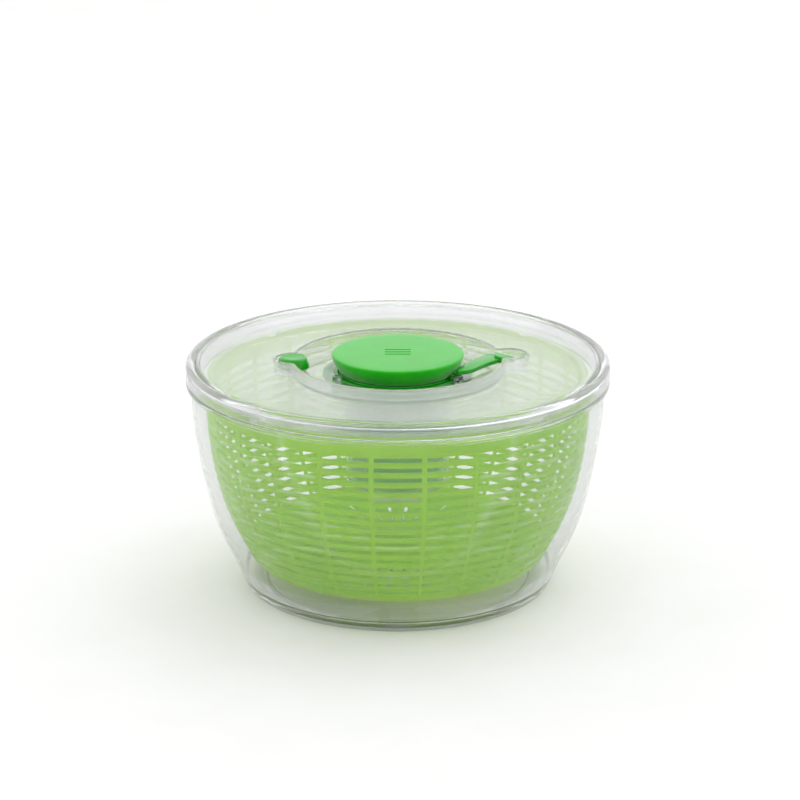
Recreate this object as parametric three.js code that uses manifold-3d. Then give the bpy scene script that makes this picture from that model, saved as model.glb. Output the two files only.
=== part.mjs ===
// Pump salad spinner: a clear bowl, a slotted basket that spins on the bowl's floor, and a clear lid
// that carries a push knob, a twisted drive screw, a one-way clutch, a brake button and a knob lock.
// Millimetres, +Z up, origin at the middle of the foot ring on the surface the spinner stands on.

import * as THREE from 'three';
import { mergeVertices } from 'three/addons/utils/BufferGeometryUtils.js';
import Module from 'manifold-3d';

const wasm = await Module();
wasm.setup();

// Driving dimensions
const rimRadius = 133.5; // the widest rim, shared by the bowl and the lid
const overallHeight = 150; // to the top of the locked knob
const gap = 0.3; // between pieces that touch
const bigSides = 36; // facets round the bowl, the lid and the drive disc
const smallSides = 20; // facets round the mechanism's pieces
const holeSides = 12; // facets round screw holes and stems

const bowlWall = 2.4;
const bowlRimTop = 135.6;
const bowlFloorTop = 5;
const pivotTop = 23.6;

const basketRadius = 120.3; // along the straight top of the basket
const basketWall = 1.8;
const basketTop = 136;
const basketFloor = 19; // underside of the basket's floor
const basketRibs = 24;
const ribHalfWidth = 1.5;
const slotRows = 5;
const firstSlotZ = 26;
const lastSlotZ = 121;
const slotHeight = 11.8;

const lidTop = 145.7;
const lidThickness = 1.8;
const recessRadius = 65.6;
const recessFloorTop = 137;
const brakeX = -66;
const lobeRadius = 11; // the two round lobes of the recess, for the brake and for a finger
const fingerHole = [70.8, 10];
const lidHoleRadius = 40.3;
const screwCircle = 43.6;
const screwRadius = 1.2;

const housingRadius = 30.5;
const housingBottom = 66.5;
const wellRadius = 33; // outside of the drive disc's deep well
const wellBottom = 63.5;
const trackTop = 133.8;
const discRadius = 117;
const driveLugs = 4;

const knobRadius = 41.6;
const knobFootRadius = 36.3;
const knobBottom = 138.4;
const knobStroke = 44;
const collarBottom = 123.6; // the plunger's foot stops here when the knob is up
const plungerFoot = 3; // thickness of the plunger's foot
const plungerBottom = collarBottom - knobStroke - plungerFoot - 2 * gap;
const helixPitch = 32; // rise for one turn of the drive screw
const helixBottom = 73;
const helixTop = 130;

// Colours of the plastics and metals
const finishes = {
  clear: { color: 0xe6ebec, roughness: 0.08, metalness: 0 },
  frosted: { color: 0xdfe6e2, roughness: 0.45, metalness: 0 },
  basketGreen: { color: 0x8cc63f, roughness: 0.35, metalness: 0 },
  softGreen: { color: 0x7ccf5e, roughness: 0.7, metalness: 0 },
  hardGreen: { color: 0x2fbf2f, roughness: 0.3, metalness: 0 },
  softGrey: { color: 0xa9adab, roughness: 0.7, metalness: 0 },
  acetal: { color: 0xf2f1ea, roughness: 0.4, metalness: 0 },
  steel: { color: 0xb9bcbf, roughness: 0.3, metalness: 1 },
};

const group = new THREE.Group();

// Turns a closed geometry into a solid, with its faces pointing out.
function toSolid(geometry) {
  geometry.deleteAttribute('normal');
  geometry.deleteAttribute('uv');
  const merged = mergeVertices(geometry, 1e-4);
  const vertProperties = new Float32Array(merged.attributes.position.array);
  const triVerts = new Uint32Array(merged.index.array);
  if (signedVolume(vertProperties, triVerts) < 0) {
    for (let i = 0; i < triVerts.length; i += 3) {
      [triVerts[i + 1], triVerts[i + 2]] = [triVerts[i + 2], triVerts[i + 1]];
    }
  }
  return new wasm.Manifold(new wasm.Mesh({ numProp: 3, vertProperties, triVerts }));
}

function signedVolume(positions, triangles) {
  const corner = (i) => new THREE.Vector3().fromArray(positions, 3 * triangles[i]);
  let volume = 0;
  for (let i = 0; i < triangles.length; i += 3) {
    volume += corner(i).dot(corner(i + 1).cross(corner(i + 2))) / 6;
  }
  return volume;
}

// Adds a solid to the group as a named mesh.
function addPiece(name, solid, finish) {
  const { vertProperties, triVerts } = solid.getMesh();
  const geometry = new THREE.BufferGeometry();
  geometry.setAttribute('position', new THREE.BufferAttribute(new Float32Array(vertProperties), 3));
  geometry.setIndex([...triVerts]);
  geometry.computeVertexNormals();
  const mesh = new THREE.Mesh(geometry, new THREE.MeshStandardMaterial(finishes[finish]));
  mesh.name = name;
  group.add(mesh);
}

// A solid of revolution about Z. The outline is a list of [radius, height] that goes once round
// the section; it is closed here, either on the axis or on itself.
function turned(outline, sides = smallSides) {
  const points = outline.map(([r, z]) => new THREE.Vector2(r, z));
  const onAxis = outline[0][0] === 0 && outline[outline.length - 1][0] === 0;
  if (!onAxis) points.push(points[0].clone());
  return toSolid(new THREE.LatheGeometry(points, sides).rotateX(Math.PI / 2));
}

function cylinder(radius, bottom, top, x = 0, y = 0, sides = smallSides) {
  return turned([[0, bottom], [radius, bottom], [radius, top], [0, top]], sides).translate([x, y, 0]);
}

// A box that stands off the axis at an angle, from one radius to another.
function radialBox(inner, outer, width, bottom, top, degrees) {
  const box = new THREE.BoxGeometry(outer - inner, width, top - bottom);
  box.translate((inner + outer) / 2, 0, (bottom + top) / 2);
  return toSolid(box.rotateZ(THREE.MathUtils.degToRad(degrees)));
}

function everyAngle(count, first = 0) {
  return Array.from({ length: count }, (_, i) => first + (360 / count) * i);
}

function join(solids) {
  return solids.reduce((whole, next) => whole.add(next));
}

// Points along a curve, moved sideways by an offset.
function alongCurve(curve, steps, offset = 0) {
  return Array.from({ length: steps + 1 }, (_, i) => {
    const point = curve.getPointAt(i / steps);
    const tangent = curve.getTangentAt(i / steps);
    return [point.x - offset * tangent.y, point.y + offset * tangent.x];
  });
}

// A twisted bar of three lobes, turning once in a helix pitch.
function twistedBar(meanRadius, lobeHeight, bottom, top, steps) {
  const corners = 12;
  const positions = [];
  for (let step = 0; step <= steps; step += 1) {
    const z = bottom + ((top - bottom) * step) / steps;
    const twist = (2 * Math.PI * (z - helixBottom)) / helixPitch;
    for (let corner = 0; corner < corners; corner += 1) {
      const angle = (2 * Math.PI * corner) / corners;
      const radius = meanRadius + lobeHeight * Math.cos(3 * angle);
      positions.push(radius * Math.cos(angle + twist), radius * Math.sin(angle + twist), z);
    }
  }
  positions.push(0, 0, bottom, 0, 0, top);
  const bottomCentre = corners * (steps + 1);
  const topRing = corners * steps;
  const triangles = [];
  for (let corner = 0; corner < corners; corner += 1) {
    const next = (corner + 1) % corners;
    for (let step = 0; step < steps; step += 1) {
      const low = corners * step;
      const high = low + corners;
      triangles.push(low + corner, low + next, high + next, low + corner, high + next, high + corner);
    }
    triangles.push(bottomCentre, next, corner, bottomCentre + 1, topRing + corner, topRing + next);
  }
  return toSolid(indexedGeometry(positions, triangles));
}

function indexedGeometry(positions, triangles) {
  const geometry = new THREE.BufferGeometry();
  geometry.setAttribute('position', new THREE.Float32BufferAttribute(positions, 3));
  geometry.setIndex(triangles);
  return geometry;
}

// The bowl

const bowlSide = new THREE.SplineCurve([
  new THREE.Vector2(99, 1.2),
  new THREE.Vector2(104.8, 15),
  new THREE.Vector2(119, 50),
  new THREE.Vector2(128.5, 100),
  new THREE.Vector2(130.6, 131.2),
]);

function bowl() {
  const steps = 7;
  const inside = alongCurve(bowlSide, steps, bowlWall).filter(([, z]) => z > bowlFloorTop + 3).reverse();
  return turned([
    [0, 2.4], [84.6, 2.4], [86, 0.8], [87.4, 0.8], [87.4, 3.3], [94.2, 3.3], [94.2, 0.8],
    ...alongCurve(bowlSide, steps),
    [rimRadius - 0.3, 131.9], [rimRadius, 132.8], [rimRadius, 135], [rimRadius - 0.5, bowlRimTop],
    [129.2, bowlRimTop], [128.3, 134.6],
    ...inside,
    [92, 6.4], [88.5, bowlFloorTop], [16, bowlFloorTop], [9, 6], [5.6, 18], [4, 22.4], [0, pivotTop],
  ], bigSides);
}

function footRing() {
  return turned([[87.7, 3], [87.7, 0.6], [88.3, 0], [93.3, 0], [93.9, 0.6], [93.9, 3]], bigSides);
}

// The basket: its side narrows below a straight top, and is pierced by rows of slots between ribs.

function basketSideRadius(z) {
  const straightFrom = 112;
  const drop = Math.max(0, straightFrom - z) / 90;
  return basketRadius - 24.3 * drop * drop;
}

function slottedSide() {
  const pitch = (lastSlotZ - firstSlotZ) / (slotRows - 0.5);
  const levels = [basketFloor + 1.5];
  for (let row = 0; row < slotRows; row += 1) {
    levels.push(firstSlotZ + pitch * row, firstSlotZ + pitch * row + slotHeight);
  }
  levels.push(basketTop);
  const columns = 2 * basketRibs;
  const ribHalfAngle = ribHalfWidth / basketRadius;
  const ribStep = (2 * Math.PI) / basketRibs;
  const angles = [];
  for (let rib = 0; rib < basketRibs; rib += 1) {
    angles.push((rib + 0.5) * ribStep - ribHalfAngle, (rib + 0.5) * ribStep + ribHalfAngle);
  }
  const bands = levels.length - 1;
  const isSolid = (band, column) =>
    band >= 0 && band < bands && (band % 2 === 0 || column % 2 === 0);
  const positions = [];
  for (const z of levels) {
    for (const angle of angles) {
      for (const radius of [basketSideRadius(z), basketSideRadius(z) - basketWall]) {
        positions.push(radius * Math.cos(angle), radius * Math.sin(angle), z);
      }
    }
  }
  const vertex = (level, column, side) => 2 * (level * columns + (column % columns)) + side;
  const triangles = [];
  const quad = (a, b, c, d) => triangles.push(a, b, c, a, c, d);
  for (let band = 0; band < bands; band += 1) {
    for (let column = 0; column < columns; column += 1) {
      if (!isSolid(band, column)) continue;
      const [out, inn] = [0, 1];
      const corner = (up, along, side) => vertex(band + up, column + along, side);
      quad(corner(0, 0, out), corner(0, 1, out), corner(1, 1, out), corner(1, 0, out));
      quad(corner(0, 1, inn), corner(0, 0, inn), corner(1, 0, inn), corner(1, 1, inn));
      if (!isSolid(band - 1, column)) {
        quad(corner(0, 0, inn), corner(0, 1, inn), corner(0, 1, out), corner(0, 0, out));
      }
      if (!isSolid(band + 1, column)) {
        quad(corner(1, 0, out), corner(1, 1, out), corner(1, 1, inn), corner(1, 0, inn));
      }
      if (!isSolid(band, column + columns - 1)) {
        quad(corner(0, 0, inn), corner(0, 0, out), corner(1, 0, out), corner(1, 0, inn));
      }
      if (!isSolid(band, column + 1)) {
        quad(corner(0, 1, out), corner(0, 1, inn), corner(1, 1, inn), corner(1, 1, out));
      }
    }
  }
  return toSolid(indexedGeometry(positions, triangles));
}

function basket() {
  const edge = basketSideRadius(basketFloor + 1.5);
  const floor = turned([
    [0, 25], [5.2, 25], [7.4, 19.6], [8.4, basketFloor], [86, basketFloor],
    [edge - 0.9, basketFloor + 1.4], [edge - 0.9, basketFloor + 2.6],
    [85, basketFloor + basketWall], [12, basketFloor + basketWall], [9.4, 27.4], [0, 27.4],
  ], bigSides);
  const slots = everyAngle(12).map((degrees) => radialBox(30, 76, 9, 18, 22, degrees));
  const notches = everyAngle(driveLugs, 45).map((degrees) =>
    radialBox(115, 123, 7, trackTop - 2.6, basketTop + 1, degrees));
  return slottedSide().add(floor).subtract(join([...slots, ...notches]));
}

// The lid: a shell with a round recess that has two lobes, one for the brake and one for a finger.

function lid() {
  const floorBottom = recessFloorTop - lidThickness;
  const topBottom = lidTop - lidThickness;
  const bead = new THREE.EllipseCurve(rimRadius - 3, 143, 3, 3.4, 0, Math.PI * 0.86);
  const shell = turned([
    [lidHoleRadius, floorBottom], [recessRadius + 1.6, floorBottom], [recessRadius + 1.6, topBottom],
    [125, topBottom], [125, 131.6], [127.2, 131.6], [127.2, 142.2], [130.6, 142.6], [131.6, 141.4],
    [131.6, bowlRimTop + gap], [rimRadius, bowlRimTop + gap],
    ...alongCurve(bead, 5),
    [126.4, lidTop], [recessRadius + 0.8, lidTop], [recessRadius, lidTop - 0.7],
    [recessRadius - 0.5, recessFloorTop], [lidHoleRadius, recessFloorTop],
  ], bigSides);
  const [fingerX, fingerY] = fingerHole;
  const lobeWall = 1.6;
  const lobes = join([
    cylinder(lobeRadius + lobeWall, floorBottom, lidTop - 0.2, brakeX, 0, 32),
    cylinder(lobeRadius + lobeWall, floorBottom, lidTop - 0.2, fingerX, fingerY, 32),
  ]);
  const pockets = join([
    cylinder(lobeRadius, recessFloorTop, lidTop + 2, brakeX, 0, 32),
    cylinder(lobeRadius, recessFloorTop, lidTop + 2, fingerX, fingerY, 32),
  ]);
  const recess = cylinder(recessRadius - 0.5, recessFloorTop, lidTop + 2, 0, 0, bigSides);
  const brakeBoss = cylinder(8.5, floorBottom, 139.5, brakeX);
  const brakeBore = cylinder(7, floorBottom - 1, 137.9, brakeX).add(cylinder(3.2, 130, 141, brakeX, 0, holeSides));
  const screwBosses = screwAngles().map((angle) => atScrew(angle, screwCylinder(2.9, floorBottom, 140.4)));
  const screwBores = screwAngles().map((angle) => atScrew(angle, screwCylinder(screwRadius + gap, floorBottom - 1, 137.6)));
  return shell.add(lobes).subtract(pockets).subtract(recess.subtract(cylinder(lidHoleRadius, 130, 150)))
    .add(join([brakeBoss, ...screwBosses])).subtract(join([brakeBore, ...screwBores]));
}

function screwAngles() {
  return everyAngle(3, -30);
}

function screwCylinder(radius, bottom, top) {
  return cylinder(radius, bottom, top, 0, 0, holeSides);
}

function atScrew(degrees, solid) {
  const angle = THREE.MathUtils.degToRad(degrees);
  return solid.translate([screwCircle * Math.cos(angle), screwCircle * Math.sin(angle), 0]);
}

// The mechanism's housing hangs under the lid and ends in a neck that the drive disc turns on.

function mechanismHousing() {
  const flangeTop = recessFloorTop - lidThickness - gap;
  const inside = housingRadius - 2.2;
  const body = turned([
    [7.3, housingBottom + 2], [7.3, 60.4], [10.2, 60.4], [10.2, 61.2], [9.4, 61.8], [9.4, 63.2],
    [10.2, 63.4], [10.2, housingBottom], [housingRadius - 1.5, housingBottom],
    [housingRadius, housingBottom + 1.5], [housingRadius, 130.4], [47.5, 132.4], [47.5, flangeTop],
    [lidHoleRadius - gap, flangeTop], [lidHoleRadius - gap, recessFloorTop],
    [lidHoleRadius - 2.4, recessFloorTop], [lidHoleRadius - 2.4, 133.8], [inside, 132.6],
    [inside, housingBottom + 2],
  ]);
  const screwHoles = screwAngles().map((angle) => atScrew(angle, screwCylinder(screwRadius + gap, 125, 136)));
  const headSeats = screwAngles().map((angle) => atScrew(angle, screwCylinder(3.6, 125, 133.4)));
  return body.subtract(join([...screwHoles, ...headSeats]));
}

function housingScrew(degrees) {
  const outline = [
    [0, 130.9], [2.4, 130.9], [3.2, 131.5], [3.2, 133.1],
    [screwRadius, 133.1], [screwRadius, 136.7], [0, 137.2],
  ];
  const slot = radialBox(-4, 4, 0.9, 130, 131.7, 0);
  return atScrew(degrees, turned(outline, holeSides).subtract(slot));
}

// A disc in the mouth of the housing that guides the plunger and keeps it from turning.
function guideCollar() {
  const outline = [
    [13.6, collarBottom], [27.9, collarBottom], [27.9, 131], [25.8, 131], [25.8, 126], [13.6, 126],
  ];
  const keyways = everyAngle(3, 30).map((degrees) => radialBox(11, 15.4, 3.8, 120, 132, degrees));
  return turned(outline).subtract(join(keyways));
}

function bearingBush() {
  return turned([[4.3, 63.4], [7, 63.4], [7, 68.8], [9.6, 68.8], [9.6, 70.4], [4.3, 70.4]]);
}

// A split ring in the neck's groove, which holds the drive disc up on the neck.
function retainingClip() {
  const ring = turned([[9.7, 61.9], [15, 61.9], [15, 63.1], [9.7, 63.1]]);
  return ring.subtract(radialBox(5, 20, 6, 60, 65, 90));
}

// The drive disc covers the basket. Its deep well goes round the housing.
function driveDisc() {
  const top = trackTop - 1;
  const disc = turned([
    [10.6, wellBottom], [wellRadius - 1.6, wellBottom], [wellRadius, wellBottom + 1.6],
    [wellRadius, 125.6], [52.6, 127.8], [55.6, top - 1.8], [discRadius - 2.4, top - 1.8],
    [discRadius, top - 0.6], [discRadius, 135.4], [discRadius - 1.8, 135.4], [discRadius - 3, top],
    [68.6, top], [68, trackTop], [58, trackTop], [57.4, top], [54.6, top], [51.6, 129.4],
    [wellRadius - 1.7, 127.4], [wellRadius - 1.7, wellBottom + 1.8], [10.6, wellBottom + 1.8],
  ], bigSides);
  const lugs = everyAngle(driveLugs, 45).map((degrees) =>
    radialBox(116, 120, 5.8, trackTop - 2, 135.2, degrees));
  return disc.add(join(lugs));
}

// Ratchet teeth standing up from a disc, between two radii.
function faceTeeth(count, inner, outer, bottom, top) {
  return join(everyAngle(count).map((degrees) => radialBox(inner, outer, 2.4, bottom, top, degrees)));
}

function clutchCup() {
  const cup = turned([
    [0, 53], [19, 53], [20.4, 54.4], [20.4, wellBottom - gap], [17.6, wellBottom - gap],
    [17.6, 55.2], [0, 55.2],
  ]);
  return cup.add(faceTeeth(8, 8, 14, 55, 56.6));
}

function clutchDriver() {
  const driver = turned([[3.6, 58.6], [14, 58.6], [14, 60], [6, 60], [6, 62.6], [3.6, 62.6]]);
  return driver.add(faceTeeth(8, 8, 13.6, 57.2, 58.8));
}

// A wave washer under the drive screw that lifts the clutch clear when the knob isn't pushed.
function clutchSpring() {
  return turned([[4.4, 55.5], [6.8, 55.5], [6.8, 57.9], [6.2, 57.9], [6.2, 56.1], [4.4, 56.1]], 16);
}

function driveScrew() {
  const spindle = turned([
    [0, 57], [3.3, 57], [3.3, 62.9], [4, 62.9], [4, 70.7], [7.4, 70.7], [7.4, 72.2], [4.6, helixBottom + 1],
    [0, helixBottom + 1],
  ]);
  return spindle.add(twistedBar(4.3, 1.3, helixBottom, helixTop, 23));
}

function helixNut() {
  const nut = turned([[0, 76.4], [9.9, 76.4], [9.9, 82.6], [0, 82.6]]);
  return nut.subtract(twistedBar(4.9, 1.3, 74, 85, 10));
}

// A cone-shaped coil that closes almost flat under the plunger's foot.
function returnSpring() {
  const turns = 4.5;
  const stepsPerTurn = 12;
  const wire = 0.7;
  class ConeCoil extends THREE.Curve {
    getPoint(t, target = new THREE.Vector3()) {
      const angle = 2 * Math.PI * turns * t;
      const radius = 26.4 - 9.6 * t;
      return target.set(radius * Math.cos(angle), radius * Math.sin(angle), 69.7 + 5.2 * t);
    }
  }
  return toSolid(new THREE.ExtrudeGeometry(wireSection(wire, 5), {
    steps: turns * stepsPerTurn, extrudePath: new ConeCoil(),
  }));
}

function brakeSpring() {
  const turns = 2.5;
  class Coil extends THREE.Curve {
    getPoint(t, target = new THREE.Vector3()) {
      const angle = 2 * Math.PI * turns * t;
      return target.set(brakeX + 5.2 * Math.cos(angle), 5.2 * Math.sin(angle), 140.2 + 3.5 * t);
    }
  }
  return toSolid(new THREE.ExtrudeGeometry(wireSection(0.35, 5), {
    steps: turns * 12, extrudePath: new Coil(),
  }));
}

function wireSection(radius, sides) {
  const corners = Array.from({ length: sides }, (_, i) => {
    const angle = (2 * Math.PI * i) / sides;
    return new THREE.Vector2(radius * Math.cos(angle), radius * Math.sin(angle));
  });
  return new THREE.Shape(corners);
}

// The push knob: a soft cap over a hard core, screwed to the plunger.

function knobFlank(z, inset) {
  const rise = (z - knobBottom) / (overallHeight - 2 - knobBottom);
  return knobFootRadius + (knobRadius - knobFootRadius) * Math.sin((Math.PI / 2) * rise) - inset;
}

function knobCap() {
  const outside = [138.4, 141, 143.6, 146.2, 148].map((z) => [knobFlank(z, 0), z]);
  const inside = [147.7, 145, 142, 138.4].map((z) => [knobFlank(z, 1.5), z]);
  return turned([
    ...outside, [knobRadius - 0.5, 149], [knobRadius - 2, 149.6], [knobRadius - 12, 149.9],
    [0, overallHeight], [0, 147.7], ...inside, [knobFlank(knobBottom, 0), knobBottom],
  ].slice(0, -1), 32);
}

function knobCore() {
  const flank = [138.8, 142, 145, 147.4].map((z) => [knobFlank(z, 1.8), z]);
  const dish = turned([
    [2.4, 143.6], [33, 143.6], [33, 138.8], ...flank, [4.8, 147.4], [4.8, 145.3], [2.4, 145.3],
  ], 32);
  const hooks = everyAngle(3).flatMap((degrees) => [
    radialBox(26.4, 28.3, 6, 133.8, 144, degrees),
    radialBox(26.4, 29, 6, 133.8, 135, degrees),
  ]);
  return dish.add(join(hooks));
}

function knobScrew() {
  const outline = [
    [0, 136], [2, 136.6], [2, 145.6], [4.4, 145.6], [4.4, 146.6], [3.4, 147.2], [0, 147.2],
  ];
  return turned(outline, 16).subtract(radialBox(-6, 6, 1, 146.2, 148, 45));
}

function plunger() {
  const tube = turned([
    [10.2, plungerBottom], [18, plungerBottom], [18, plungerBottom + plungerFoot],
    [13.2, plungerBottom + plungerFoot],
    [13.2, 143.3], [2.4, 143.3], [2.4, 134], [10.2, 134],
  ]);
  const keys = everyAngle(3, 30).map((degrees) =>
    radialBox(12.4, 14.9, 3, plungerBottom + 4, 137.6, degrees));
  return tube.add(join(keys));
}

// The lock: a ring round the knob's foot with an arm that sweeps out to a thumb tab.
function lockRing() {
  const ring = turned([[30.6, 134.6], [37, 134.6], [37, 138], [30.6, 138]], 32);
  const armShape = new THREE.Shape();
  armShape.moveTo(35.5, -9);
  armShape.lineTo(43, -5);
  armShape.quadraticCurveTo(50.4, 5.6, 57.6, 14);
  armShape.lineTo(61.6, 13.4);
  armShape.lineTo(63.6, 2);
  armShape.quadraticCurveTo(55.4, -6, 47, -18.5);
  armShape.lineTo(37, -24.5);
  armShape.lineTo(32.5, -17);
  const arm = new THREE.ExtrudeGeometry(armShape, { depth: 6.6, bevelEnabled: false, curveSegments: 6 });
  arm.translate(0, 0, 137.5);
  const underArm = turned([[39.6, 137], [39.6, 141.4], [90, 141.4], [90, 137]], 32);
  const aboveRing = turned([
    [0, 137.9], [36.5, 138.1], ...[139, 142, 145].map((z) => [knobFlank(z, -0.5), z]), [0, 145],
  ], 32);
  const tabShape = new THREE.Shape([[61, 142], [63, 145.9], [74, 142.6], [74, 141], [61, 141]]
    .map(([x, z]) => new THREE.Vector2(x, z)));
  const tab = new THREE.ExtrudeGeometry(tabShape, { depth: 9.2, bevelEnabled: false });
  tab.rotateX(Math.PI / 2).translate(0, 12.4, 0);
  const lugs = everyAngle(3, 0).map((degrees) => radialBox(29.4, 31.4, 8, 135.2, 137.4, degrees));
  return ring.add(toSolid(arm).subtract(underArm).subtract(aboveRing)).add(toSolid(tab)).add(join(lugs));
}

// The brake: a sprung button whose stem pushes a soft pad down on the drive disc's track.
function brakeButton() {
  return turned([
    [0, 144.4], [8, 144.4], [9.1, 139.6], [10.4, 139.6], [10, 141.6], [8.2, 145.4], [6.9, 146.2],
    [0, 146.2],
  ]).add(cylinder(2.9, 137.8, 145, 0, 0, holeSides)).translate([brakeX, 0, 0]);
}

function brakePad() {
  return turned([[0, 136.2], [6, 136.2], [6.6, 136.8], [6.6, 137.5], [0, 137.5]], 16)
    .translate([brakeX, 0, 0]);
}

addPiece('bowl', bowl(), 'clear');
addPiece('foot_ring', footRing(), 'softGrey');
addPiece('basket', basket(), 'basketGreen');
addPiece('lid', lid(), 'clear');
addPiece('mechanism_housing', mechanismHousing(), 'hardGreen');
screwAngles().forEach((degrees, i) => addPiece(`housing_screw_${i + 1}`, housingScrew(degrees), 'steel'));
addPiece('guide_collar', guideCollar(), 'acetal');
addPiece('bearing_bush', bearingBush(), 'acetal');
addPiece('retaining_clip', retainingClip(), 'acetal');
addPiece('return_spring', returnSpring(), 'steel');
addPiece('drive_disc', driveDisc(), 'frosted');
addPiece('clutch_cup', clutchCup(), 'acetal');
addPiece('clutch_driver', clutchDriver(), 'acetal');
addPiece('clutch_spring', clutchSpring(), 'steel');
addPiece('drive_screw', driveScrew(), 'acetal');
addPiece('helix_nut', helixNut(), 'acetal');
addPiece('plunger', plunger(), 'hardGreen');
addPiece('knob_core', knobCore(), 'hardGreen');
addPiece('knob_screw', knobScrew(), 'steel');
addPiece('knob_cap', knobCap(), 'softGreen');
addPiece('lock_ring', lockRing(), 'hardGreen');
addPiece('brake_button', brakeButton(), 'hardGreen');
addPiece('brake_pad', brakePad(), 'softGrey');
addPiece('brake_spring', brakeSpring(), 'steel');

export default group;
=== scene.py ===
import math

import bpy
import bmesh
import numpy as np
from mathutils import Matrix, Vector


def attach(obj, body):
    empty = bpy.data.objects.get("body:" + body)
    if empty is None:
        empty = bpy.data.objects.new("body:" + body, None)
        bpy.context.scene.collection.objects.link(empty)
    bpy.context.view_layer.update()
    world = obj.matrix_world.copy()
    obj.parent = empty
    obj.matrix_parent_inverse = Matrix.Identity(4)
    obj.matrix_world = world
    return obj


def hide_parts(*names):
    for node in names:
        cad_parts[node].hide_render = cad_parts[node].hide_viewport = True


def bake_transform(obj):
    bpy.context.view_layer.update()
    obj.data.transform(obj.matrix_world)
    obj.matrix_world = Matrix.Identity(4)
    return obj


# A pump salad spinner with a clear bowl, a slotted green basket and a clear lid that holds the drive.
# Sizes are in millimetres until toMesh turns them into metres. The frame is the CAD's own.

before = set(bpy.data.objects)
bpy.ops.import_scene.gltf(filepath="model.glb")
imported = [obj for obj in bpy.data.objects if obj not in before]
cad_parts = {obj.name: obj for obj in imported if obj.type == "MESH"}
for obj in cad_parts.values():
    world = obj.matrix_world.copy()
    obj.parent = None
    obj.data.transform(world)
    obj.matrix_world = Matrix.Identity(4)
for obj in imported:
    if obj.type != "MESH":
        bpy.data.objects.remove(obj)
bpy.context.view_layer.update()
mm = 0.001


def circlePoint(radius, angle, z):
    return (radius * math.cos(angle), radius * math.sin(angle), z)


def evenAngles(count, first=0.0):
    return [first + 2 * math.pi * i / count for i in range(count)]


def smoothCurve(points, stepsEach, offset=0.0):
    # a spline through the points, moved sideways by the offset
    made = []
    last = len(points) - 1
    for i in range(last):
        p0, p1, p2, p3 = (np.array(points[k]) for k in (max(i - 1, 0), i, i + 1, min(i + 2, last)))
        v0, v1 = (p2 - p0) / 2, (p3 - p1) / 2
        a, b = 2 * p1 - 2 * p2 + v0 + v1, -3 * p1 + 3 * p2 - 2 * v0 - v1
        for k in range(stepsEach + (i == last - 1)):
            t = k / stepsEach
            place = a * t ** 3 + b * t * t + v0 * t + p1
            along = 3 * a * t * t + 2 * b * t + v0
            along = along / np.linalg.norm(along)
            made.append((place[0] - offset * along[1], place[1] + offset * along[0]))
    return made


def rounded(outline, steps=4):
    # an outline point may carry a third number, the size of its fillet
    closed = outline[0][0] > 0 or outline[-1][0] > 0
    made = []
    count = len(outline)
    for i, point in enumerate(outline):
        fillet = point[2] if len(point) > 2 else 0
        here = np.array(point[:2], float)
        if not fillet or (not closed and i in (0, count - 1)):
            made.append(tuple(here))
            continue
        before = np.array(outline[i - 1][:2], float) - here
        after = np.array(outline[(i + 1) % count][:2], float) - here
        cut = min(fillet, 0.48 * np.linalg.norm(before), 0.48 * np.linalg.norm(after))
        start = here + before / np.linalg.norm(before) * cut
        end = here + after / np.linalg.norm(after) * cut
        for k in range(steps + 1):
            t = k / steps
            made.append(tuple((1 - t) ** 2 * start + 2 * t * (1 - t) * here + t * t * end))
    return made


def turned(outline, angles=192, warp=None, steps=4):
    # revolves an outline of (radius, height) round Z; warp may change a radius at an angle
    if isinstance(angles, int):
        angles = evenAngles(angles)
    points = rounded(outline, steps)
    closed = outline[0][0] > 0 or outline[-1][0] > 0
    vertices, rows = [], []
    for radius, z in points:
        if radius < 1e-6:
            rows.append([len(vertices)] * len(angles))
            vertices.append((0, 0, z))
        else:
            radii = warp(radius, angles) if warp else [radius] * len(angles)
            rows.append(list(range(len(vertices), len(vertices) + len(angles))))
            vertices += [circlePoint(r, a, z) for r, a in zip(radii, angles)]
    faces = []
    for i in range(len(rows) if closed else len(rows) - 1):
        low, high = rows[i], rows[(i + 1) % len(rows)]
        for k in range(len(angles)):
            n = (k + 1) % len(angles)
            face = [low[k], low[n], high[n], high[k]]
            face = [v for j, v in enumerate(face) if v != face[j - 1]]
            if len(face) > 2:
                faces.append(face)
    return vertices, faces


def moved(part, x=0.0, y=0.0, z=0.0, turn=0.0):
    spin = Matrix.Translation((x, y, z)) @ Matrix.Rotation(turn, 4, "Z")
    return [tuple(spin @ Vector(v)) for v in part[0]], part[1]


def block(inner, outer, width, bottom, top, angle=0.0, edge=0.0):
    # a box that stands off the axis, with its upright and top edges rounded
    half = width / 2
    e = min(edge, half * 0.8)
    plan = [(inner, -half), (outer - e, -half), (outer, -half + e), (outer, half - e), (outer - e, half),
        (inner, half)]
    if e == 0:
        plan = [(inner, -half), (outer, -half), (outer, half), (inner, half)]
    return moved(slab(plan, bottom, top, e * 0.7), turn=angle)


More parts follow.
